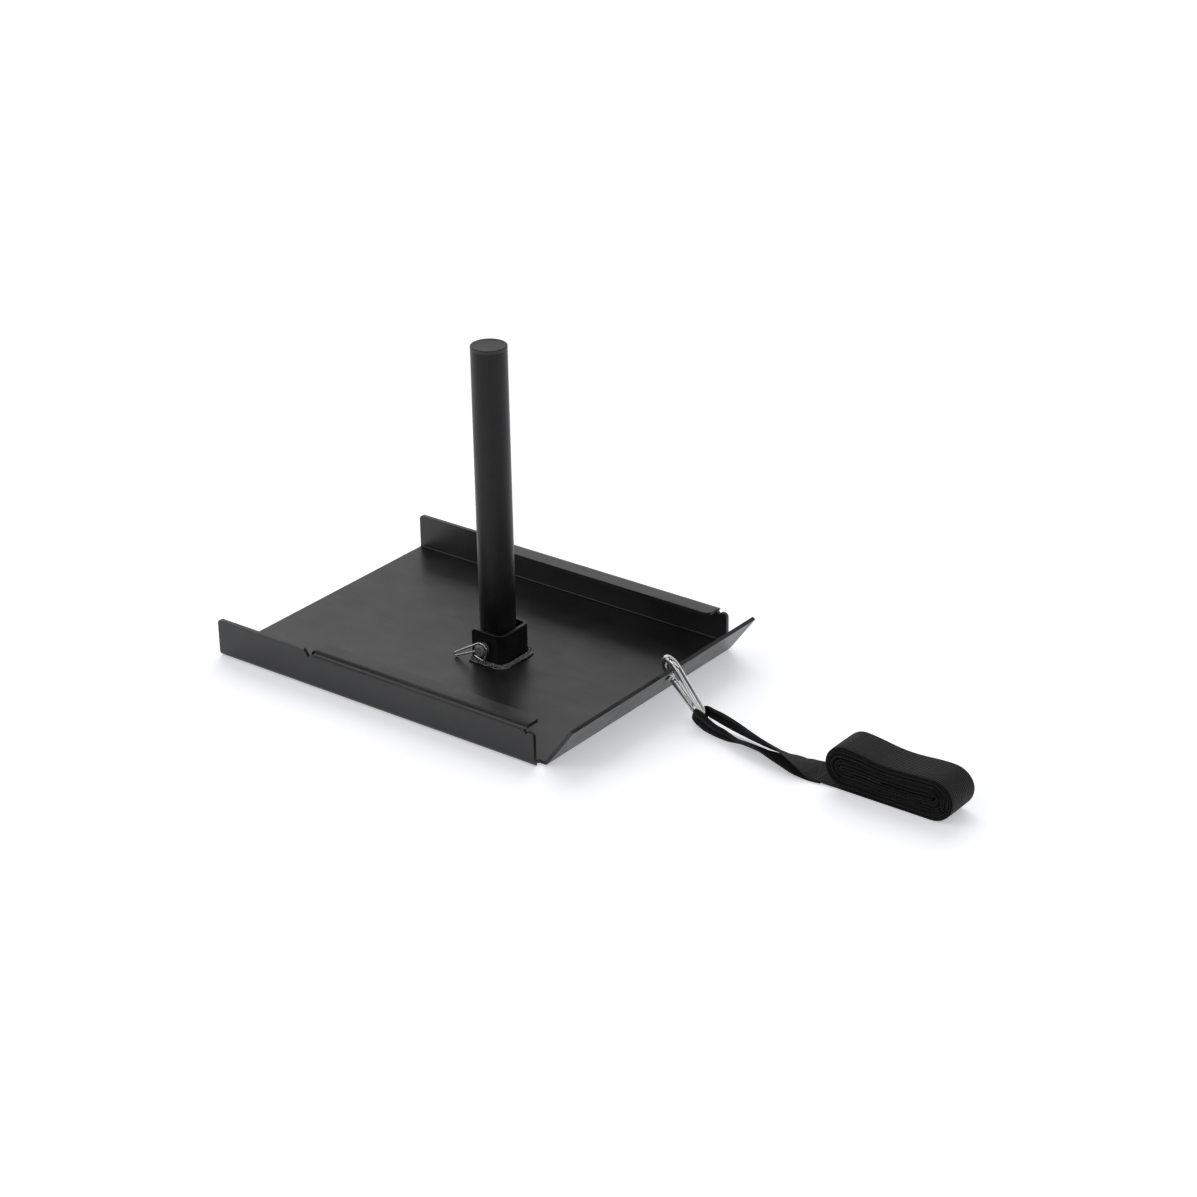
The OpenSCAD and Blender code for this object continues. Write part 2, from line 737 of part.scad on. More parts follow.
ROLL = concat(
    [for (turn = [0 : roll_turns - 1]) each roll_turn(turn)],
    [for (k = [0 : 1]) [roll_x1 + k * strap_w, roll_h / 2 - roll_r + roll_inset(roll_turns, 0)]]);

function side_of(PATH, i, d) =
    let (last = len(PATH) - 1, t = PATH[min(i + 1, last)] - PATH[max(i - 1, 0)], u = t / norm(t))
    PATH[i] + d * [-u[1], u[0]];

roll_gap = min([for (i = [0 : len(ROLL) - roll_steps - 2])
    for (j = [-1 : 1]) norm(ROLL[i + roll_steps + j] - ROLL[i])]) - strap_t;
echo(roll_length = roll_length(ROLL), roll_gap = roll_gap);

function roll_length(PATH, i = 0) =
    i >= len(PATH) - 1 ? 0 : norm(PATH[i + 1] - PATH[i]) + roll_length(PATH, i + 1);

module strap_roll() color(webbing)
    translate([0, roll_y + strap_w / 2, 0])
        rotate([90, 0, 0])
            linear_extrude(strap_w)
                polygon(concat(
                    [for (i = [0 : len(ROLL) - 1]) side_of(ROLL, i, -strap_t / 2)],
                    [for (i = [len(ROLL) - 1 : -1 : 0]) side_of(ROLL, i, strap_t / 2)]));

sled_pan();
post_socket();
socket_weld();
plate_post();
post_cap();
lock_pin();
pin_clip();
hook_body();
hinge_rivet();
hook_gate();
latch_pin();
gate_spring();
gate_plunger();
strap_eye();
strap_lead();
strap_roll();
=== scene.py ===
# %% [markdown]
# # Drag sled in Blender
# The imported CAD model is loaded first, as a fixed frame. Every node that it brings in is in metres,
# with its place in its mesh, so a new piece goes where the real one goes and needs no fitting.

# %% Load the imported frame
import math

import bmesh
import bpy
from mathutils import Matrix, Vector, noise
from mathutils.bvhtree import BVHTree


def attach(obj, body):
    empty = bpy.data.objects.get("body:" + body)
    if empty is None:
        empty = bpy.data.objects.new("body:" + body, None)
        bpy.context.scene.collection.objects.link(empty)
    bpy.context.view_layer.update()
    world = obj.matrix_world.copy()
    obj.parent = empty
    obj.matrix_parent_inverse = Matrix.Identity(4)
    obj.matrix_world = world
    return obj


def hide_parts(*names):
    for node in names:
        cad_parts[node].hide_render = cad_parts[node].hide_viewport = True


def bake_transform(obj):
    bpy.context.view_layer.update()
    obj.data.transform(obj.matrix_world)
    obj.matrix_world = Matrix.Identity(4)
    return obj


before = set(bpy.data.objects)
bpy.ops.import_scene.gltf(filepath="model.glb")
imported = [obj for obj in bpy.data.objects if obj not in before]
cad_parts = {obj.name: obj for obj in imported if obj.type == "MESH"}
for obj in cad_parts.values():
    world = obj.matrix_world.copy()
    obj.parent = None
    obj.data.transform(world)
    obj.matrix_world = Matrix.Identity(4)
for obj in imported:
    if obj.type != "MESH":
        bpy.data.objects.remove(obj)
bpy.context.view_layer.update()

# %% [markdown]
# ## Camera
# The view is a long lens from the sled's front right, 26 degrees above the floor. The picture is square, so
# the lens length and the 36 mm sensor alone give its field. The frame leans by one degree.

# %% Camera
TURN, RISE, LEAN = math.radians(37.67), math.radians(25.61), math.radians(-1.03)
AIM = Vector((-0.00264, 0.22065, 0))
back = Vector((math.sin(TURN) * math.cos(RISE), -math.cos(TURN) * math.cos(RISE), math.sin(RISE)))
right = (-back).cross(Vector((0, 0, 1))).normalized()
up = right.cross(-back)
lean_right = right * math.cos(LEAN) + up * math.sin(LEAN)
lean_up = up * math.cos(LEAN) - right * math.sin(LEAN)

lens = bpy.data.cameras.new("photo_lens")
lens.lens, lens.sensor_width, lens.clip_end = 91.5, 36, 50
camera = bpy.data.objects.new("photo_camera", lens)
bpy.context.scene.collection.objects.link(camera)
camera.matrix_world = Matrix.Translation(AIM + back * 4.186) @ Matrix(
    (lean_right, lean_up, back)).transposed().to_4x4()
bpy.context.scene.camera = camera
print("camera stands at", [round(v, 3) for v in camera.matrix_world.translation])

# %% [markdown]
# ## Tools for a new mesh
# A bmesh is finished in one place: it becomes an object at the origin, with smooth faces and with
# sharp edges only where two faces meet at more than a given angle.

# %% Finish a bmesh
MM = 0.001


def finished(bm, name, sharp=35, merge=0.00001):
    bmesh.ops.remove_doubles(bm, verts=bm.verts[:], dist=merge)
    for face in bm.faces:
        face.smooth = True
    for edge in bm.edges:
        edge.smooth = not (edge.is_manifold and edge.calc_face_angle(0) > math.radians(sharp))
    mesh = bpy.data.meshes.new(name)
    bm.to_mesh(mesh)
    bm.free()
    piece = bpy.data.objects.new(name, mesh)
    bpy.context.scene.collection.objects.link(piece)
    print(name, len(mesh.polygons), "faces")
    return piece


def set_piece(piece, body, slot, *nodes):
    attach(piece, body)
    if nodes:
        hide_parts(*nodes)
    return piece


# %% [markdown]
# ## The strap's route
# The strap is one long band of webbing. Its sewn end lies under the band, from there it goes through
# the hook's narrow bow, back over its own end, flat over the floor and under the roll. Each station
# holds the band's middle, the direction of its width and its width, in millimetres. The legs near the
# hook stand a little higher and more upright than the CAD's simpler ones. A smooth curve through the
# stations gives as many more as the mesh needs, and BUNCH is the width's direction at the stations in the
# hook.

# %% Stations of the eye and the lead
STRAP_T, STRAP_W = 1.7, 50
PER_STATION = 5
BUNCH = (0.56, -0.46, 0.69)
ROLL_X1, ROLL_X2, ROLL_Y = 566, 690, -12
STRAP = [
    ((530, -15.5, 0.95), (0, -1, 0), 49), ((516, -17.5, 1), (0, -1, 0), 49),
    ((504, -19, 1.6), (0, -1, 0.03), 48), ((492, -21, 3), (0, -0.995, 0.08), 47),
    ((478, -22, 5), (0, -0.985, 0.17), 44), ((456, -22, 6.8), (0, -0.956, 0.292), 38),
    ((426, -22, 9.4), (0, -0.883, 0.469), 26), ((404, -21, 9.6), (0, -0.766, 0.643), 20),
    ((390, -19, 9.1), (0, -0.552, 0.834), 18), ((377, -17, 8.9), (0, -0.25, 0.968), 17),
    ((361, -15, 9.6), (0.05, -0.17, 0.985), 18), ((343, -10, 11), (0.25, -0.1, 0.96), 20.5),
    ((335, -8, 13), (0.35, -0.1, 0.93), 21), ((327.5, -7.5, 15.5), (0.35, -0.15, 0.92), 20),
    ((321.5, -4.8, 16), (0.45, -0.3, 0.84), 16),
    ((319.5, 0, 18), BUNCH, 11.4), ((320.5, 4, 20.5), BUNCH, 10), ((323, 7.5, 20.5), BUNCH, 11.4),
    ((329, 10.5, 19.5), (0.45, -0.35, 0.82), 17), ((336, 9.5, 17), (0.25, -0.2, 0.95), 20),
    ((345, 8, 16.3), (0.3, -0.2, 0.93), 20), ((361, 5.5, 15), (0.1, -0.12, 0.98), 20.5),
    ((392, 0, 12.7), (0.03, -0.37, 0.93), 24), ((413, -6, 12.9), (0, -0.54, 0.84), 27),
    ((434, -12, 13.4), (0, -0.66, 0.75), 31), ((457, -19, 15), (0, -0.78, 0.63), 36),
    ((478, -20, 13), (0, -0.9, 0.43), 43), ((492, -20, 9), (0, -0.94, 0.33), 46),
    ((504, -18.5, 5.5), (0, -0.98, 0.15), 48), ((520, -17, 3), (0, -1, 0), 49),
    ((530, -15.5, 2.95), (0, -1, 0), 49), ((540.6, -13.9, 2), (0, -1, 0), 49.5),
    ((553, -12, 1), (0, -1, 0), 50), ((566, -12, 0.85), (0, -1, 0), 50),
    ((597, -12, 0.85), (0, -1, 0), 50), ((628, -12, 0.85), (0, -1, 0), 50),
    ((659, -12, 0.85), (0, -1, 0), 50), ((690, -12, 0.85), (0, -1, 0), 50),
]


def between(a, b, c, d, f):
    """The smooth curve through b and c at share f, where a and d are the stations beyond them."""
    return 0.5 * ((2 * b) + (c - a) * f + (2 * a - 5 * b + 4 * c - d) * f * f
                  + (3 * b - a - 3 * c + d) * f ** 3)


def refined(stations, steps):
    rows = [(Vector(p) * MM, Vector(w).normalized(), Vector((width, 0, 0)) * MM)
            for p, w, width in stations]
    fine = []
    for i in range(len(rows) - 1):
        near = [rows[min(max(i + k, 0), len(rows) - 1)] for k in (-1, 0, 1, 2)]
        for k in range(steps):
            fine.append(tuple(between(*(row[j] for row in near), k / steps) for j in range(3)))
    return fine + [rows[-1]]


route = refined(STRAP, PER_STATION)
print(len(route), "stations along the strap")

# %% [markdown]
# ## A band laid along a route
# The band starts as a flat grid: a few squares across its width and many along its length. Each
# vertex is then moved to its station. A second skin, made by duplicating the first and turning it
# over, is bridged to it round the rim, so the band has its real thickness and thinner selvedges. The
# UV map keeps metres across and along the band, which lets the weave follow every turn.

# %% Lay a band
def lay_band(name, route, columns, lift=None):
    """lift(i, share, width) gives how far the band is lifted there; share runs from -1 to 1."""
    rows = len(route)
    bm = bmesh.new()
    bmesh.ops.create_grid(bm, x_segments=columns, y_segments=rows - 1, size=1)
    along = [0.0]
    for i in range(1, rows):
        along.append(along[-1] + (route[i][0] - route[i - 1][0]).length)
    row, across = bm.verts.layers.int.new("row"), bm.verts.layers.float.new("across")
    for vert in bm.verts:
        vert[row], vert[across] = round((vert.co.y + 1) / 2 * (rows - 1)), vert.co.x
    twin = bmesh.ops.duplicate(bm, geom=bm.faces[:])["geom"]
    lower = {v for v in twin if isinstance(v, bmesh.types.BMVert)}
    bmesh.ops.reverse_faces(bm, faces=[f for f in twin if isinstance(f, bmesh.types.BMFace)])
    bmesh.ops.bridge_loops(bm, edges=[e for e in bm.edges if e.is_boundary])
    for vert in bm.verts:
        i, share = vert[row], vert[across]
        middle, wide, size = route[i]
        ahead = route[min(i + 1, rows - 1)][0] - route[max(i - 1, 0)][0]
        wide = (wide - ahead * (wide.dot(ahead) / ahead.length_squared)).normalized()
        out = ahead.cross(wide).normalized()
        half = STRAP_T / 2 * MM * min(1, 0.55 + 0.45 * size.x / 0.045) * (1 - 0.4 * abs(share) ** 12)
        rise = lift(i, share, size.x) if lift else 0
        vert.co = middle + wide * (share * size.x / 2) + out * (rise + (-half if vert in lower else half))
    bmesh.ops.recalc_face_normals(bm, faces=bm.faces[:])
    weave = bm.loops.layers.uv.new("weave")
    for face in bm.faces:
        for loop in face.loops:
            loop[weave].uv = (loop.vert[across] * 0.025, along[loop.vert[row]])
    return finished(bm, name, sharp=60, merge=0.0000001), along[-1]


# %% [markdown]
# ## The free stretch of the pull strap
# The gathered part can't be flat: 50 mm of webbing goes through an 11 mm bow, so it folds into pleats
# that fan out over a hand's width. The lift below is a wave across the band whose height follows how
# much width the band has lost. The band goes on under the roll as its first run on the floor, so the
# two pieces meet where no seam shows.

# %% Eye and lead as one band
def gathers(i, share, width):
    lost = max(0.0, 1 - width / 0.048)
    height = lost * (0.0036 - 0.008 * max(0.0, lost - 0.56))
    fold = math.cos(share * math.pi * 1.6 + 0.5 + 0.02 * i)
    crease = 0.35 * math.cos(share * math.pi * 3.7 - 0.05 * i)
    return height * (fold + crease) * (1 - 0.25 * share * share)


pull_strap, band_length = lay_band("pull_strap", route, 24, gathers)
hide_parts("strap_eye", "strap_lead")
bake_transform(pull_strap)

# %% [markdown]
# ## The rolled part of the strap
# The rest of the strap is rolled up flat: each turn runs along the floor, round the right-hand end,
# back over the top and down round the left-hand end, half a pitch further in at each end. A hand-made
# roll is never even, so the top is pressed down, the inner turns sag, and every turn's edges lie a
# little further in or out than the one before. The last turn's end is tucked in.

# %% Roll
TURNS, PITCH, ROLL_H, DIP, FALL = 10, 2.8, 60, 5, 4
OUTER = (ROLL_H - STRAP_T) / 2
ROUND, FLAT = 24, 16


def pressed(x, z, turn):
    """Moves a point of the even roll to where a hand-made roll has it; turn counts from the outside."""
    share = min(1, max(0, (x - ROLL_X1) / (ROLL_X2 - ROLL_X1)))
    drop = -DIP * math.sin(math.pi * share) ** 2 - FALL * share
    z += drop * max(0, z - ROLL_H / 2) / (ROLL_H / 2)
    depth = turn / TURNS
    slack = min(1, depth * 2.2) * (1 - depth * 0.4)
    z += slack * (1.3 * math.sin(x * 0.055 + 1.2) + 0.5 * math.sin(x * 0.13)) * (0.4 + 0.6 * depth)
    x += slack * (1.6 * math.sin(z * 0.09 + 0.6) - 1.2)
    shift = min(1, turn * 1.5) * (1.5 * math.sin(turn * 2.4) + 0.8 * math.sin(turn * 9.1 + 1))
    return (x, ROLL_Y + shift, z)


def end_of_roll(middle_x, start, turn, first):
    """Half a turn round one end of the roll, from the angle start, half a pitch further in at its end."""
    rows = []
    for k in range(ROUND + 1):
        share = k / ROUND
        a, r = math.radians(start + 180 * share), OUTER - PITCH * (turn + first + 0.5 * share)
        rows.append(pressed(middle_x + r * math.cos(a), ROLL_H / 2 + r * math.sin(a),
                            turn + first + 0.3 * share))
    return rows


def run_of_roll(start_x, stop_x, height, turn, steps):
    """A straight run between the roll's ends, at a height over or under its middle."""
    return [pressed(start_x + (stop_x - start_x) * k / FLAT, ROLL_H / 2 + height, turn + 0.2 * k / FLAT)
            for k in range(1, steps)]


def roll_rows():
    rows = []
    for turn in range(TURNS):
        last = FLAT if turn < TURNS - 1 else FLAT // 2
        rows += end_of_roll(ROLL_X2, -90, turn, 0)
        rows += run_of_roll(ROLL_X2, ROLL_X1, OUTER - PITCH * (turn + 0.5), turn + 0.3, FLAT)
        rows += end_of_roll(ROLL_X1, 90, turn, 0.5)
        rows += run_of_roll(ROLL_X1, ROLL_X2, PITCH * (turn + 1) - OUTER, turn + 0.8, last)
    return [(Vector(spot) * MM, Vector((0, -1, 0)), Vector((STRAP_W, 0, 0)) * MM) for spot in rows]


def slack_edges(i, share, width):
    """The two edges of an inner turn wave a little, since nothing pulls them tight."""
    loose = min(1.0, max(0.0, (i - 70) / 60))
    wave = math.sin(i * 0.31) + 0.6 * math.sin(i * 0.83 + 1)
    return 0.00032 * loose * wave * abs(share) ** 3


rolled = roll_rows()
strap_roll, roll_length = lay_band("rolled_strap", rolled, 12, slack_edges)
set_piece(strap_roll, "sled", "webbing", "strap_roll")
print("rolled up", round(roll_length, 3), "m")

# %% [markdown]
# ## The strap's two pieces
# The free stretch leaves the hook and goes into the roll. The roll lies in its own turns.

# %% [markdown]
# ## Merged copies of the folded and machined parts
# A CAD node's mesh is loose triangles. A copy of it is merged, its flat faces are joined, and a small
# bevel then gives every cut edge the soft radius that a coat of powder leaves, which is what catches
# the light along the rims.

# %% Copy a node's form
def merged_copy(node, name, flat=1.0):
    bm = bmesh.new()
    bm.from_mesh(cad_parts[node].data)
    bmesh.ops.remove_doubles(bm, verts=bm.verts[:], dist=0.00001)
    bmesh.ops.dissolve_limit(bm, angle_limit=math.radians(flat), verts=bm.verts[:], edges=bm.edges[:])
    return finished(bm, name, sharp=30)


def rounded(piece, width, segments=3, angle=40):
    bevel = piece.modifiers.new("rounded edges", "BEVEL")
    bevel.width, bevel.segments, bevel.limit_method = width * MM, segments, "ANGLE"
    bevel.angle_limit = math.radians(angle)
    bevel.harden_normals = True
    return piece


pan = set_piece(rounded(merged_copy("sled_pan", "folded_pan"), 0.7), "sled", "coated_steel", "sled_pan")
post = set_piece(rounded(merged_copy("plate_post", "round_post"), 0.4), "sled", "coated_steel",
                 "plate_post")
pin = set_piece(rounded(merged_copy("lock_pin", "cross_pin"), 0.4), "pin", "coated_steel", "lock_pin")
gate = set_piece(rounded(merged_copy("hook_gate", "gate_bar"), 0.35), "gate", "zinc", "hook_gate")
latch = set_piece(rounded(merged_copy("latch_pin", "latch_cross_pin"), 0.25), "gate", "zinc", "latch_pin")
plunger = set_piece(rounded(merged_copy("gate_plunger", "gate_push_plunger"), 0.2), "gate", "zinc",
                    "gate_plunger")
print("six machined pieces carry rounded edges")

# %% [markdown]
# ## The post's socket
# The real socket is a bracket: one strip bent to a U, whose open side looks to the rear. The copy of
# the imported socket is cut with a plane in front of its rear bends, and the free ends are drawn out to
# their real length. Both cheeks' upper corners lie on one line, so eight flat cuts round them together.
# A wide bevel would stop at the edges that run from the pin's hole to the rim.

# %% Socket bracket
SOCKET_BACK, CUT_AT, CHEEK_R, CUTS = -21, -18, 6, 8


def cut_off(bm, spot, out):
    """Cuts away what lies beyond the plane through spot, on the side that out points to."""
    bmesh.ops.bisect_plane(bm, geom=bm.verts[:] + bm.edges[:] + bm.faces[:], plane_co=spot,
                           plane_no=out, clear_outer=True)
    bmesh.ops.holes_fill(bm, edges=[e for e in bm.edges if e.is_boundary], sides=0)


socket_bm = bmesh.new()
socket_bm.from_mesh(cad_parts["post_socket"].data)
bmesh.ops.remove_doubles(socket_bm, verts=socket_bm.verts[:], dist=0.00001)
cut_off(socket_bm, Vector((CUT_AT * MM, 0, 0)), Vector((-1, 0, 0)))
bmesh.ops.dissolve_limit(socket_bm, angle_limit=math.radians(1), verts=socket_bm.verts[:],
                         edges=socket_bm.edges[:])
free_end = [v for v in socket_bm.verts if v.co.x < (CUT_AT + 0.05) * MM]
bmesh.ops.translate(socket_bm, verts=free_end, vec=((SOCKET_BACK - CUT_AT) * MM, 0, 0))
centre = Vector((SOCKET_BACK + CHEEK_R, 0, max(v.co.z for v in free_end) / MM - CHEEK_R)) * MM
for k in range(CUTS):
    a = math.radians(90 * (k + 0.5) / CUTS)
    out = Vector((-math.cos(a), 0, math.sin(a)))
    cut_off(socket_bm, centre + out * CHEEK_R * MM, out)
bmesh.ops.recalc_face_normals(socket_bm, faces=socket_bm.faces[:])
socket = set_piece(rounded(finished(socket_bm, "socket_bracket", sharp=30), 0.8), "sled", "coated_steel",
                   "post_socket")
print("bracket cut open at the rear, its free corners rounded with", CUTS, "cuts")

# %% [markdown]
# ## Turned parts
# A part that is round about a line is one profile, spun a full turn about that line. The cap is a
# moulded plug: a thick flange with a rolled rim and a slightly sunk face, and a hollow plug inside the
# tube that holds it by friction.

# %% End cap of the post
def turned(name, profile, steps=96, sharp=50):
    """The profile is a closed list of (radius, height) in millimetres about the Z axis."""
    bm = bmesh.new()
    verts = [bm.verts.new((r * MM, 0, z * MM)) for r, z in profile]
    edges = [bm.edges.new(pair) for pair in zip(verts, verts[1:])]
    bmesh.ops.spin(bm, geom=verts + edges, cent=(0, 0, 0), axis=(0, 0, 1), dvec=(0, 0, 0),
                   angle=math.tau, steps=steps, use_merge=True, use_duplicate=False)
    bmesh.ops.remove_doubles(bm, verts=bm.verts[:], dist=0.00001)
    bmesh.ops.recalc_face_normals(bm, faces=bm.faces[:])
    return finished(bm, name, sharp)


cap = turned("plastic_end_cap", [
    (0, 441.5), (17.6, 441.5), (18.6, 441.55), (19.4, 441.8), (20.2, 441.95), (22.2, 442), (23, 441.9),
    (23.6, 441.6), (23.9, 441.2), (24, 440.7), (24, 437.3), (23.8, 437.02), (21, 437.02), (20.9, 424),
    (20.4, 423), (18.9, 423), (18.9, 437), (18, 438), (0, 438)])
set_piece(cap, "sled", "cap_plastic", "post_cap")

# %% [markdown]
# ## Weld bead
# The bracket is welded to the pan along its outside. A hand-fed bead is a row of overlapping scales,
# about 4 mm apart, bulging between the two plates, with lumps where the hand slowed. The bead is a
# grid rolled into a tube: its short side goes round the bead's section, where its seam is merged, and
# its long side along the bracket's three sides and two bends.

# %% Weld along the bracket's foot
SHEET, SOCKET, SOCKET_R, LEG, FOOT = 5, 60, 10, 5.8, 8.6
SCALE_STEP, LUMP = 4.1, 1.6


def foot_runs():
    """The three straight runs and two bends of the bracket's foot, each with its length."""
    cheek, web = SOCKET / 2 - SOCKET_R - SOCKET_BACK, SOCKET - 2 * SOCKET_R
    bend = math.pi / 2 * SOCKET_R
    return [cheek, bend, web, bend, cheek]


def foot_outline(s):
    """Point and outward direction at share s of the way along the bracket's outside."""
    parts = foot_runs()
    way = s * sum(parts)
    at, heading, out = Vector((SOCKET_BACK, -SOCKET / 2, 0)), Vector((1, 0, 0)), Vector((0, -1, 0))
    for k, length in enumerate(parts):
        here = min(way, length)
        if k % 2 == 0:
            at = at + heading * here
        else:
            turn = Matrix.Rotation(here / SOCKET_R, 3, "Z")
            centre = at - out * SOCKET_R
            at, heading, out = centre + turn @ (out * SOCKET_R), turn @ heading, turn @ out
        way -= here
        if way <= 0:
            break
    return at, out


bm = bmesh.new()
bmesh.ops.create_grid(bm, x_segments=14, y_segments=360, size=1)
for vert in bm.verts:
    round_share, s = (vert.co.x + 1) / 2, (vert.co.y + 1) / 2
    a = round_share * math.tau
    scale = s * sum(foot_runs()) / SCALE_STEP
    crescent = (scale + 0.35 * math.sin(a)) % 1
    scallop = 1.3 * math.sqrt(max(0, 1 - (2 * crescent - 1) ** 2)) - 0.8
    wander = 0.55 * math.sin(scale * 0.37) + 0.35 * math.sin(scale * 0.91 + 2)
    wander += LUMP * noise.noise(Vector((scale * 0.7, 1.3 * math.cos(a), 1.3 * math.sin(a))))
    point, out = foot_outline(s)
    x, z = max(math.cos(a) * 0.5 + 0.5, 0.02), max(math.sin(a) * 0.5 + 0.5, 0.02)
    over = max(0, x + z - 1)
    reach = (1 - 0.62 * over) if over else 1
    swell = (scallop + wander) * 0.7 if x + z > 0.9 else 0
    vert.co = (point + out * (x * reach * FOOT + swell)
               + Vector((0, 0, SHEET + z * reach * LEG + swell * 0.6))) * MM
bmesh.ops.remove_doubles(bm, verts=bm.verts[:], dist=0.00001)
bmesh.ops.holes_fill(bm, edges=[e for e in bm.edges if e.is_boundary], sides=0)
bmesh.ops.recalc_face_normals(bm, faces=bm.faces[:])
weld = finished(bm, "weld_bead", sharp=70)
set_piece(weld, "sled", "coated_steel", "socket_weld")

# %% [markdown]
# ## Bent wire
# The clip and the hook's body are each one round bar, bent in one plane. The mesh is made the way the
# bender works: a circle is drawn out along each straight run and spun round the middle of each bend,
# then both ends are closed and their edges broken.

# %% Bend a wire
def bent_wire(start, heading, wire_r, moves, sides, end_bevel):
    """A move is (length, 0) for a straight run, or (bend radius, turn in degrees). Millimetres."""
    bm = bmesh.new()
    at, way = Vector((start[0], 0, start[1])), math.radians(heading)
    turned_up = Matrix.Rotation(-way, 4, "Y") @ Matrix.Rotation(math.pi / 2, 4, "Y")
    bmesh.ops.create_circle(bm, cap_ends=True, radius=wire_r, segments=sides,
                            matrix=Matrix.Translation(at) @ turned_up)
    rim = bm.edges[:]
    first = set(rim)
    for size, turn in moves:
        ahead = Vector((math.cos(way), 0, math.sin(way)))
        if turn == 0:
            made = bmesh.ops.extrude_edge_only(bm, edges=rim)["geom"]
            tips = {v for v in made if isinstance(v, bmesh.types.BMVert)}
            bmesh.ops.translate(bm, verts=list(tips), vec=ahead * size)
            rim = [e for e in made if isinstance(e, bmesh.types.BMEdge) and set(e.verts) <= tips]
            at = at + ahead * size
            continue
        side = math.copysign(1, turn)
        centre = at + Vector((-math.sin(way), 0, math.cos(way))) * side * size
        steps = max(3, round(abs(turn) / 7))
        made = bmesh.ops.spin(bm, geom=rim, cent=centre, axis=(0, -side, 0), dvec=(0, 0, 0),
                              angle=math.radians(abs(turn)), steps=steps)["geom_last"]
        rim = [e for e in made if isinstance(e, bmesh.types.BMEdge)]
        at = centre + Matrix.Rotation(math.radians(-turn), 3, "Y") @ (at - centre)
        way += math.radians(turn)
    bmesh.ops.contextual_create(bm, geom=rim)
    bmesh.ops.recalc_face_normals(bm, faces=bm.faces[:])
    bmesh.ops.bevel(bm, geom=[e for e in list(first) + rim if e.is_valid], offset=end_bevel, segments=3,
                    affect="EDGES", profile=0.5, material=-1)
    return bm


def placed(bm, matrix):
    bmesh.ops.scale(bm, vec=(MM, MM, MM), verts=bm.verts[:])
    shift = matrix.copy()
    shift.translation = matrix.translation * MM
    bmesh.ops.transform(bm, matrix=shift, verts=bm.verts[:])
    return bm


def turn_y(degrees):
    return Matrix.Rotation(math.radians(degrees), 4, "Y")


# %% [markdown]
# ## The pin's clip
# A clip of spring wire keeps the cross pin in: one leg goes through the pin, the wire turns back in a
# small eye, and the other leg opens away from it, hugs the pin over its top and front, and turns back
# below it. It snaps on, and a finger in the eye pulls it off.

# %% Clip
HUG, EYE_R, CLIP_LEN, LEG_END, HUG_TO = 9.6, 2.3, 46, 5, 48
CLIP_WIRE_R, CLIP_TILT, CLIP_Y, PIN_Z = 1.4, 25, -37, 26.5
TAIL = [(10, 0), (2.2, -82), (14, 0)]
reach = math.hypot(CLIP_LEN, EYE_R)
spread = math.degrees(math.asin((HUG - EYE_R) / reach) - math.atan2(EYE_R, CLIP_LEN))
upper_leg = math.sqrt(reach ** 2 - (HUG - EYE_R) ** 2)
clip_bm = bent_wire((LEG_END, 0), 180, CLIP_WIRE_R, [
    (LEG_END + CLIP_LEN, 0), (EYE_R, spread - 180), (upper_leg, 0),
    (HUG, -(90 + spread + HUG_TO)), *TAIL], sides=20, end_bevel=0.45)
placed(clip_bm, Matrix.Translation((0, CLIP_Y, PIN_Z)) @ turn_y(-CLIP_TILT))
clip = set_piece(finished(clip_bm, "spring_clip", sharp=50), "pin", "zinc", "pin_clip")

# %% [markdown]
# ## The snap hook
# The hook's body is a 10 mm bar bent to a large bow, a straight spine and a small bow, with a stub
# that carries the gate. Flat tongues stand at both open ends: the hinge tongue has the rivet through
# it, and the nose tongue has the notch that the gate's cross pin drops into. The hook is first placed:
# from the nose plate's corner up to the tow hole, then its large bow is hung on the hole's lower rim.

# %% Where the hook hangs
NOSE_ANGLE, NOSE_X, TOW_Y, TOW_UP = 53.2, 233.5, 16, 56.5
HOOK_DIP, HOOK_ROLL, HOOK_YAW = 42, 22, -8
BIG_R, SMALL_R, BOW_GAP, GRIP = 20, 10.5, 59.5, math.radians(168)
slope = math.radians(NOSE_ANGLE)
in_hole = (Matrix.Translation((NOSE_X, TOW_Y, 0)) @ turn_y(-NOSE_ANGLE)
           @ Matrix.Translation((TOW_UP, 0, SHEET / 2)) @ turn_y(NOSE_ANGLE))
hanging = (in_hole @ Matrix.Translation((-0.5 * math.cos(slope), 2.9, -0.5 * math.sin(slope)))
           @ Matrix.Rotation(math.radians(HOOK_YAW), 4, "Z") @ turn_y(HOOK_DIP - 90)
           @ Matrix.Rotation(math.radians(-HOOK_ROLL), 4, "Z")
           @ Matrix.Translation((-BIG_R * math.cos(GRIP), 0, -BIG_R * math.sin(GRIP))))
TILT = math.degrees(math.asin((BIG_R - SMALL_R) / BOW_GAP))
side = BOW_GAP * math.cos(math.radians(TILT))
gate_line = hanging @ Matrix.Translation((
    -SMALL_R * math.cos(math.radians(TILT)), 0,
    -BOW_GAP - SMALL_R * math.sin(math.radians(TILT)))) @ turn_y(-TILT)
print("the hook's gate line starts at", [round(v, 2) for v in gate_line.translation])

# %% [markdown]
# Both tongues are flat pieces stamped from the bar. Each is drawn as one face, with its notch or its
# round end, and extruded to its thickness.

# %% Hook body
BAR_R, GATE_D, TONGUE, HINGE_UP = 5, 9, 3.0, 11
LATCH_UP = side - 0.4 - 3.5


def arc_points(x, z, r, start, stop, steps):
    return [(x + r * math.cos(math.radians(start + (stop - start) * k / steps)),
             z + r * math.sin(math.radians(start + (stop - start) * k / steps))) for k in range(steps + 1)]


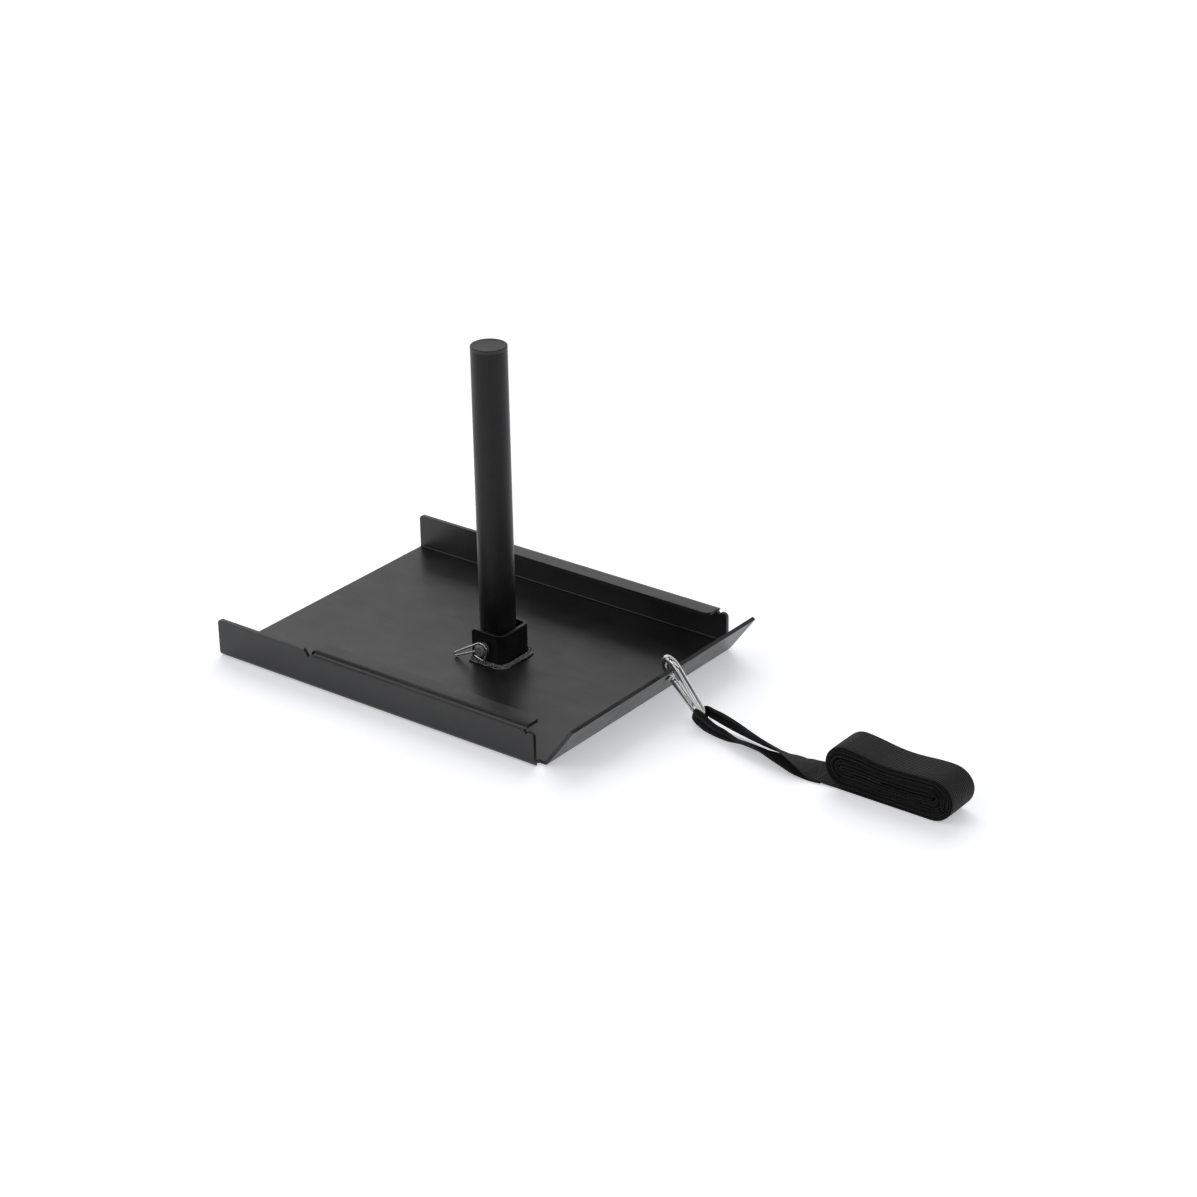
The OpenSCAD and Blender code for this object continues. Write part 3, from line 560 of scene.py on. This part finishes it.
def tongue(outline):
    bm = bmesh.new()
    flat = bm.faces.new([bm.verts.new((x, -TONGUE / 2, z)) for x, z in outline])
    made = bmesh.ops.extrude_face_region(bm, geom=[flat])["geom"]
    bmesh.ops.translate(bm, verts=[v for v in made if isinstance(v, bmesh.types.BMVert)],
                        vec=(0, TONGUE, 0))
    bmesh.ops.recalc_face_normals(bm, faces=bm.faces[:])
    return placed(bm, gate_line)


nose_start = 180 + TILT - 3
nose = math.radians(nose_start)
hook_bm = bent_wire((BIG_R * math.cos(nose), BIG_R * math.sin(nose)), nose_start - 90, BAR_R,
                    [(BIG_R, -(nose_start + TILT)), (side, 0), (SMALL_R, -(180 - 2 * TILT)),
                     (HINGE_UP - GATE_D / 2 - 0.5, 0)], sides=32, end_bevel=0.9)
placed(hook_bm, hanging)
hinge_tongue = tongue([(4.1, 5), (4.1, 8), *arc_points(0, HINGE_UP, 4.1, 0, 180, 16), (-4.1, 8), (-4.1, 5)])
nose_tongue = tongue([(3.2, LATCH_UP + 1.65), (3.2, side + 5), (-4.2, side + 5), (-4.2, LATCH_UP - 3.2),
                      (3.2, LATCH_UP - 3.2), (3.2, LATCH_UP - 1.65),
                      *arc_points(0, LATCH_UP, 1.65, 270, 90, 12)])
for part in (hinge_tongue, nose_tongue):
    spare = bpy.data.meshes.new("spare")
    part.to_mesh(spare)
    hook_bm.from_mesh(spare)
    part.free()
    bpy.data.meshes.remove(spare)
hook = set_piece(finished(hook_bm, "snap_hook_body", sharp=50), "hook", "zinc", "hook_body")

# %% [markdown]
# ## Rivet and spring
# The rivet's ends are headed over, so they bulge from the gate's sides. The spring is a circle spun
# round its line while it climbs, as a spring is wound.

# %% Rivet and gate spring
rivet = merged_copy("hinge_rivet", "domed_hinge_rivet")
set_piece(rounded(rivet, 0.7, segments=4), "hook", "zinc", "hinge_rivet")

WIRE, COIL, TURNS_UP = 0.35, 1.25, 6
low, high = HINGE_UP + GATE_D / 2 - 0.4 + 0.3 + 2.2 + 0.1 + WIRE, HINGE_UP + 19 - 0.1 - WIRE
spring_bm = bmesh.new()
bmesh.ops.create_circle(spring_bm, cap_ends=False, radius=WIRE, segments=8, matrix=Matrix.Translation(
    (COIL, 0, low)) @ Matrix.Rotation(math.pi / 2, 4, "X"))
per_turn = 20
bmesh.ops.spin(spring_bm, geom=spring_bm.edges[:], cent=(0, 0, low), axis=(0, 0, 1),
               dvec=(0, 0, (high - low) / (TURNS_UP * per_turn)), angle=math.tau * TURNS_UP,
               steps=TURNS_UP * per_turn)
bmesh.ops.holes_fill(spring_bm, edges=[e for e in spring_bm.edges if e.is_boundary], sides=0)
bmesh.ops.recalc_face_normals(spring_bm, faces=spring_bm.faces[:])
placed(spring_bm, gate_line)
spring = set_piece(finished(spring_bm, "wound_gate_spring"), "gate", "zinc", "gate_spring")

# %% [markdown]
# ## Stitching of the strap's eye
# A sewn eye is held by a box of stitches with a cross in it, through both layers. Each stitch is a
# short bead of thread that dips into the webbing at both ends, one every 3.5 mm.

# %% Box stitch
surface = BVHTree.FromPolygons([v.co for v in pull_strap.data.vertices],
                               [p.vertices for p in pull_strap.data.polygons])
X1, X2, Y1, Y2, STITCH = 508, 528, -37, 3, 3.5
corners = [(X1, Y1), (X2, Y1), (X2, Y2), (X1, Y2)]
seams = list(zip(corners, corners[1:] + corners[:1])) + [(corners[0], corners[2]), (corners[1], corners[3])]
thread_bm = bmesh.new()
for (x1, y1), (x2, y2) in seams:
    count = round(math.hypot(x2 - x1, y2 - y1) / STITCH)
    for k in range(count):
        share = (k + 0.5) / count
        x, y = (x1 + (x2 - x1) * share) * MM, (y1 + (y2 - y1) * share) * MM
        spot, normal, *_ = surface.ray_cast(Vector((x, y, 0.05)), Vector((0, 0, -1)))
        turn = Matrix.Rotation(math.atan2(y2 - y1, x2 - x1), 4, "Z")
        lean = Vector((0, 0, 1)).rotation_difference(normal).to_matrix().to_4x4()
        bead = Matrix.Diagonal((0.00155, 0.00045, 0.0004, 1))
        bmesh.ops.create_uvsphere(thread_bm, u_segments=6, v_segments=5, radius=1, matrix=(
            Matrix.Translation(spot + normal * 0.00005) @ lean @ turn @ bead))
stitches = finished(thread_bm, "box_stitch_thread", sharp=80, merge=0.000001)
set_piece(stitches, "sled", "webbing")
print("stitches laid on the sewn eye")

# %% [markdown]
# ## Materials
# One function adds a node with its inputs and settings. Colours are written as sRGB hex and turned to
# linear light once. Every pattern is sized in metres, from a real size in millimetres.

# %% Node helper
def linear(hex_colour):
    parts = [int(hex_colour[i:i + 2], 16) / 255 for i in (1, 3, 5)]
    return [c / 12.92 if c <= 0.04045 else ((c + 0.055) / 1.055) ** 2.4 for c in parts] + [1]


def add(tree, kind, inputs=(), **settings):
    made = tree.nodes.new(kind)
    for key, value in settings.items():
        setattr(made, key, value)
    for key, value in dict(inputs).items():
        if isinstance(value, bpy.types.NodeSocket):
            tree.links.new(value, made.inputs[key])
        else:
            made.inputs[key].default_value = value
    return made


def new_material(name):
    material = bpy.data.materials.new(name)
    material.use_nodes = True
    tree = material.node_tree
    tree.nodes.clear()
    return material, tree


def close_material(tree, inputs):
    shader = add(tree, "ShaderNodeBsdfPrincipled", inputs)
    add(tree, "ShaderNodeOutputMaterial", {"Surface": shader.outputs[0]})


def ramp(tree, value, low, high, a, b):
    """Maps value from low..high to a..b."""
    return add(tree, "ShaderNodeMapRange", {"Value": value, "From Min": low, "From Max": high,
                                            "To Min": a, "To Max": b}).outputs[0]


def paint(*pieces_and_material):
    *pieces, material = pieces_and_material
    for piece in pieces:
        piece.data.materials.clear()
        piece.data.materials.append(material)


# %% [markdown]
# ## Satin black powder coat
# The sled is steel, sprayed with polyester powder and baked. That gives the eye a deep black with a
# soft wide gloss, a fine orange peel about 1.5 mm across, here drawn at 2.5 mm so that it shows, and
# a thinner, greyer coat where it pulled back from the cut edges, drawn lighter than wear alone makes it,
# as a painted highlight along the rims. The post, the bracket and the pin are sprayed apart from the pan,
# so each has its own black, and over the weld's ripples the coat is glossy.

# %% Powder coat
def powder_coat(name, colour, edge_wear_and_highlight, gloss, peel=2.5, bump=0.12, specular=0.5):
    material, tree = new_material(name)
    place = add(tree, "ShaderNodeTexCoord").outputs["Object"]
    peel_noise = add(tree, "ShaderNodeTexNoise", {"Vector": place, "Scale": 1000 / peel, "Detail": 2.0,
                                                  "Roughness": 0.45}).outputs[0]
    cloud = add(tree, "ShaderNodeTexNoise", {"Vector": place, "Scale": 1000 / 55, "Detail": 4.0,
                                             "Roughness": 0.6}).outputs[0]
    stretched = add(tree, "ShaderNodeMapping", {"Vector": place, "Scale": (0.12, 1, 1)}).outputs[0]
    rubbed = add(tree, "ShaderNodeTexNoise", {"Vector": stretched, "Scale": 1000 / 9, "Detail": 5.0,
                                              "Roughness": 0.65}).outputs[0]
    # The bevelled normal finds edges and ridges, which get a paler colour: partly the worn, thinner coat,
    # partly a painted highlight along the rims.
    soft = add(tree, "ShaderNodeBevel", {"Radius": 0.0014}, samples=4).outputs[0]
    flat = add(tree, "ShaderNodeNewGeometry").outputs["Normal"]
    turn = add(tree, "ShaderNodeVectorMath", {0: soft, 1: flat}, operation="DOT_PRODUCT").outputs["Value"]
    edge = ramp(tree, turn, 0.995, 0.87, 0, 0.5)
    edge = add(tree, "ShaderNodeMath", {0: edge, 1: ramp(tree, rubbed, 0.35, 0.7, 0.35, 1)},
               operation="MULTIPLY").outputs[0]
    shade = add(tree, "ShaderNodeMix", {"Factor": edge, 6: linear(colour), 7: linear(edge_wear_and_highlight)},
                data_type="RGBA").outputs[2]
    dusty = add(tree, "ShaderNodeMix", {"Factor": ramp(tree, cloud, 0.45, 0.8, 0, 0.16), 6: shade,
                                        7: linear("#4B4B4A")}, data_type="RGBA").outputs[2]
    rough = add(tree, "ShaderNodeMath", {0: ramp(tree, cloud, 0.3, 0.7, gloss - 0.05, gloss + 0.06),
                                         1: ramp(tree, rubbed, 0.5, 0.8, 0, 0.07)},
                operation="ADD").outputs[0]
    relief = add(tree, "ShaderNodeBump", {"Height": peel_noise, "Strength": bump, "Distance": 0.0004})
    close_material(tree, {"Base Color": dusty, "Roughness": rough, "IOR": 1.5,
                          "Specular IOR Level": specular, "Normal": relief.outputs[0]})
    return material


paint(pan, powder_coat("satin_black_powder_coat", "#171718", "#5A5A5B", 0.34))
paint(post, powder_coat("black_powder_coat_of_post", "#0C0C0D", "#4C4C4D", 0.38, specular=0.3))
# The bracket's pale edge colour is mostly a painted highlight along its rims, with some wear.
paint(socket, powder_coat("black_powder_coat_of_bracket", "#0B0B0C", "#8E8E8F", 0.36, specular=0.3))
paint(pin, powder_coat("powder_coated_pin", "#6E6E6F", "#C8C8C8", 0.34, peel=1.8))
# The weld is drawn lighter than the pan, with pale ridges: painted highlights on its glossy ripples, along
# with its real specular.
paint(weld, powder_coat("powder_coated_weld", "#272728", "#8C8C8C", 0.2, peel=2.6, bump=0.6, specular=1.0))

# %% [markdown]
# ## Moulded cap plastic
# The cap is injection moulded polyethylene with a spark-eroded mould face: a dark grey that scatters
# light evenly, with a grain of about 0.6 mm, here drawn at 1.2 mm.

# %% Cap plastic
cap_plastic, tree = new_material("matte_polyethylene")
place = add(tree, "ShaderNodeTexCoord").outputs["Object"]
grain = add(tree, "ShaderNodeTexNoise", {"Vector": place, "Scale": 1000 / 1.2, "Detail": 3.0}).outputs[0]
stain = add(tree, "ShaderNodeTexNoise", {"Vector": place, "Scale": 1000 / 14, "Detail": 3.0}).outputs[0]
tone = add(tree, "ShaderNodeMix", {"Factor": ramp(tree, stain, 0.3, 0.75, 0, 1), 6: linear("#1F1F20"),
                                   7: linear("#2B2B2B")}, data_type="RGBA").outputs[2]
relief = add(tree, "ShaderNodeBump", {"Height": grain, "Strength": 0.25, "Distance": 0.0002})
close_material(tree, {"Base Color": tone, "Roughness": ramp(tree, grain, 0.3, 0.7, 0.44, 0.56),
                      "IOR": 1.5, "Normal": relief.outputs[0]})
paint(cap, cap_plastic)

# %% [markdown]
# ## Bright zinc and spring steel
# The hook is forged steel with a bright zinc plate, polished enough for long light and dark
# reflections, with faint cloudiness and fine handling marks along the bar. The clip is drawn spring
# wire with the same plate, a little smoother.

# %% Zinc plate
def zinc_plate(name, colour, dull, gloss, mark=6.0):
    material, tree = new_material(name)
    place = add(tree, "ShaderNodeTexCoord").outputs["Object"]
    cloud = add(tree, "ShaderNodeTexNoise", {"Vector": place, "Scale": 1000 / 11, "Detail": 4.0}).outputs[0]
    marks = add(tree, "ShaderNodeTexNoise", {"Vector": place, "Scale": 1000 / mark * 4, "Detail": 6.0,
                                             "Roughness": 0.7}).outputs[0]
    tone = add(tree, "ShaderNodeMix", {"Factor": ramp(tree, cloud, 0.35, 0.72, 0, 1), 6: linear(colour),
                                       7: linear(dull)}, data_type="RGBA").outputs[2]
    rough = ramp(tree, marks, 0.3, 0.75, gloss - 0.04, gloss + 0.06)
    relief = add(tree, "ShaderNodeBump", {"Height": cloud, "Strength": 0.1, "Distance": 0.0002})
    close_material(tree, {"Base Color": tone, "Metallic": 1.0, "Roughness": rough,
                          "Normal": relief.outputs[0]})
    return material


plate = zinc_plate("bright_zinc_plate", "#D8D9D8", "#B9BAB9", 0.1)
paint(hook, gate, latch, plunger, plate)
paint(rivet, zinc_plate("zinc_plated_rivet", "#B8B9B8", "#8F9090", 0.28))
paint(clip, spring, zinc_plate("plated_spring_wire", "#D2D3D2", "#A9ABAB", 0.18))

# %% [markdown]
# ## Woven nylon webbing
# The strap is a narrow fabric of black nylon: warp cords run its length, each crossed over and under
# by the weft, and the selvedges are tighter. The real cords are about 1.3 mm apart. They are drawn
# 3.4 mm apart, with a weft of 2.4 mm, so that the ribs show. The pattern reads the band's own UV map,
# in metres, so it turns with every fold.

# %% Webbing
def maths(tree, kind, a, b=0.0):
    return add(tree, "ShaderNodeMath", {0: a, 1: b}, operation=kind).outputs[0]


webbing, tree = new_material("woven_nylon_webbing")
uv = add(tree, "ShaderNodeUVMap", uv_map="weave").outputs[0]
split = add(tree, "ShaderNodeSeparateXYZ", {0: uv})
across, along = split.outputs[0], split.outputs[1]
cords = maths(tree, "DIVIDE", maths(tree, "ADD", across, 0.0255), 0.0034)
rib = maths(tree, "SINE", maths(tree, "MULTIPLY", maths(tree, "FRACT", cords), math.pi))
flip = maths(tree, "MULTIPLY", maths(tree, "MODULO", maths(tree, "FLOOR", cords), 2.0), math.pi)
weft = maths(tree, "SINE", maths(tree, "ADD", maths(tree, "MULTIPLY", along, math.tau / 0.0024), flip))
yarn = maths(tree, "MULTIPLY", rib, maths(tree, "ADD", maths(tree, "MULTIPLY", weft, 0.12), 0.88))
rim = ramp(tree, maths(tree, "ABSOLUTE", across), 0.0232, 0.0238, 0, 1)
knots = maths(tree, "ADD", maths(tree, "MULTIPLY", maths(
    tree, "SINE", maths(tree, "MULTIPLY", along, math.tau / 0.0024)), 0.5), 0.5)
height = add(tree, "ShaderNodeMix", {"Factor": rim, 2: yarn, 3: knots}, data_type="FLOAT").outputs[0]
fuzz = add(tree, "ShaderNodeTexNoise", {"Vector": add(tree, "ShaderNodeTexCoord").outputs["Object"],
                                        "Scale": 1000 / 1.1, "Detail": 3.0}).outputs[0]
wear = add(tree, "ShaderNodeTexNoise", {"Vector": add(tree, "ShaderNodeTexCoord").outputs["Object"],
                                        "Scale": 1000 / 38, "Detail": 3.0}).outputs[0]
# The colour follows the weave's height: near black in the valleys between cords, as painted shade, and
# lighter on their tops, as a painted highlight.
weave_shade_and_highlight = add(tree, "ShaderNodeMix", {"Factor": ramp(tree, height, 0.1, 0.95, 0, 1), 6: linear("#010101"),
                                   7: linear("#202021")}, data_type="RGBA").outputs[2]
tone = add(tree, "ShaderNodeMix", {"Factor": maths(tree, "MULTIPLY", ramp(tree, fuzz, 0.45, 0.75, 0, 0.3),
                                                   ramp(tree, wear, 0.35, 0.7, 0.3, 1)),
                                   6: weave_shade_and_highlight, 7: linear("#2C2C2D")}, data_type="RGBA").outputs[2]
relief = add(tree, "ShaderNodeBump", {"Height": height, "Strength": 0.9, "Distance": 0.0011})
close_material(tree, {"Base Color": tone, "Roughness": 0.7, "Sheen Weight": 0.06, "Sheen Roughness": 0.4,
                      "Specular IOR Level": 0.22, "Normal": relief.outputs[0]})
paint(pull_strap, strap_roll, webbing)

# %% [markdown]
# The stitches are bonded polyester thread: smoother and shinier than the webbing, with a twist of
# three plies every 0.9 mm.

# %% Thread
thread, tree = new_material("bonded_polyester_thread")
place = add(tree, "ShaderNodeTexCoord").outputs["Object"]
twist = add(tree, "ShaderNodeTexWave", {"Vector": place, "Scale": 1000 / 0.9 / 20, "Distortion": 1.0},
            bands_direction="DIAGONAL").outputs[1]
tone = add(tree, "ShaderNodeMix", {"Factor": twist, 6: linear("#161616"), 7: linear("#343435")},
           data_type="RGBA").outputs[2]
close_material(tree, {"Base Color": tone, "Roughness": 0.5, "Sheen Weight": 0.1})
paint(stitches, thread)

# %% [markdown]
# ## Floor and light
# The object stands in a white room: what is glossy mirrors white from all sides, which is what turns
# the black coat's top to a mid grey. The floor shows white to the camera and to reflections, less the
# object's own shadow.

# %% Floor
FLOOR_GLOW, FLOOR_HALF, FLOOR_DROP = 0.4, 6, 0.2

floor_bm = bmesh.new()
bmesh.ops.create_grid(floor_bm, x_segments=1, y_segments=1, size=FLOOR_HALF)
bmesh.ops.translate(floor_bm, verts=floor_bm.verts[:], vec=(0, 0, -FLOOR_DROP * MM))
floor = finished(floor_bm, "studio_floor")
floor_paint, tree = new_material("pale_studio_floor")
rays = add(tree, "ShaderNodeLightPath")
seen = maths(tree, "MAXIMUM", rays.outputs["Is Camera Ray"],
             maths(tree, "MAXIMUM", rays.outputs["Is Glossy Ray"], rays.outputs["Is Transmission Ray"]))
matt = add(tree, "ShaderNodeBsdfDiffuse", {"Color": linear("#F0F1F4")}).outputs[0]
glow = add(tree, "ShaderNodeEmission", {"Color": linear("#F7F8FC"),
                                        "Strength": maths(tree, "MULTIPLY", seen, FLOOR_GLOW)}).outputs[0]
add(tree, "ShaderNodeOutputMaterial",
    {"Surface": add(tree, "ShaderNodeAddShader", {0: matt, 1: glow}).outputs[0]})
paint(floor, floor_paint)

# %% [markdown]
# The room is white to the camera and dimmer to matt surfaces. To reflections alone it has three dark
# bands, as black flags give in a studio, because polished zinc without anything dark to mirror looks
# like white plastic. A wide sun from behind the object stands for a window. It is left out of
# reflections, so the pan's top doesn't glare, and one soft lamp from the side fills the near wall.

# %% World and lamps
world = bpy.data.worlds.new("white_room")
bpy.context.scene.world = world
world.use_nodes = True
tree = world.node_tree
tree.nodes.clear()
rays = add(tree, "ShaderNodeLightPath")
seen = maths(tree, "MAXIMUM", rays.outputs["Is Camera Ray"],
             maths(tree, "MAXIMUM", rays.outputs["Is Glossy Ray"], rays.outputs["Is Transmission Ray"]))
way = add(tree, "ShaderNodeTexCoord").outputs["Generated"]
toward_lens = add(tree, "ShaderNodeVectorMath", {0: way, 1: tuple(back)},
                  operation="DOT_PRODUCT").outputs["Value"]
climb = add(tree, "ShaderNodeSeparateXYZ", {0: way}).outputs[2]


def dark_band(value, start, stop, soft):
    return maths(tree, "MULTIPLY", ramp(tree, value, start - soft, start, 0, 1),
                 ramp(tree, value, stop, stop + soft, 1, 0))


near_flag, far_flag = dark_band(toward_lens, 0.85, 0.93, 0.03), dark_band(toward_lens, 0.02, 0.38, 0.04)
roof_gap = dark_band(climb, 0.60, 0.72, 0.04)
flags = maths(tree, "MAXIMUM", near_flag, maths(tree, "MAXIMUM", far_flag, roof_gap))
mirrored = maths(tree, "MULTIPLY", flags, rays.outputs["Is Glossy Ray"])
bright = maths(tree, "SUBTRACT", 1.0, maths(tree, "MULTIPLY", mirrored, 0.9))
strength = add(tree, "ShaderNodeMix", {"Factor": seen, 2: 0.5, 3: bright}, data_type="FLOAT").outputs[0]
room = add(tree, "ShaderNodeBackground", {"Color": (1, 1, 1, 1), "Strength": strength})
add(tree, "ShaderNodeOutputWorld", {"Surface": room.outputs[0]})


def soft_lamp(name, place, aim, size, watts):
    lamp = bpy.data.lights.new(name, "AREA")
    lamp.shape, lamp.size, lamp.energy = "DISK", size, watts
    holder = bpy.data.objects.new(name, lamp)
    holder.matrix_world = Matrix.Translation(place) @ (
        Vector(aim) - Vector(place)).to_track_quat("-Z", "Y").to_matrix().to_4x4()
    bpy.context.scene.collection.objects.link(holder)
    return holder


def wide_sun(name, place, spread, strength):
    lamp = bpy.data.lights.new(name, "SUN")
    lamp.angle, lamp.energy = math.radians(spread), strength
    holder = bpy.data.objects.new(name, lamp)
    holder.matrix_world = Vector(place).to_track_quat("Z", "Y").to_matrix().to_4x4()
    holder.visible_glossy = False
    bpy.context.scene.collection.objects.link(holder)
    return holder


wide_sun("window_behind", (-1, 1.3, 1.35), 48, 1.3)
soft_lamp("side_softbox", (-1.6, -1.9, 1.5), (0.1, 0, 0.15), 1.2, 8)
bpy.context.scene.view_settings.view_transform = "Standard"
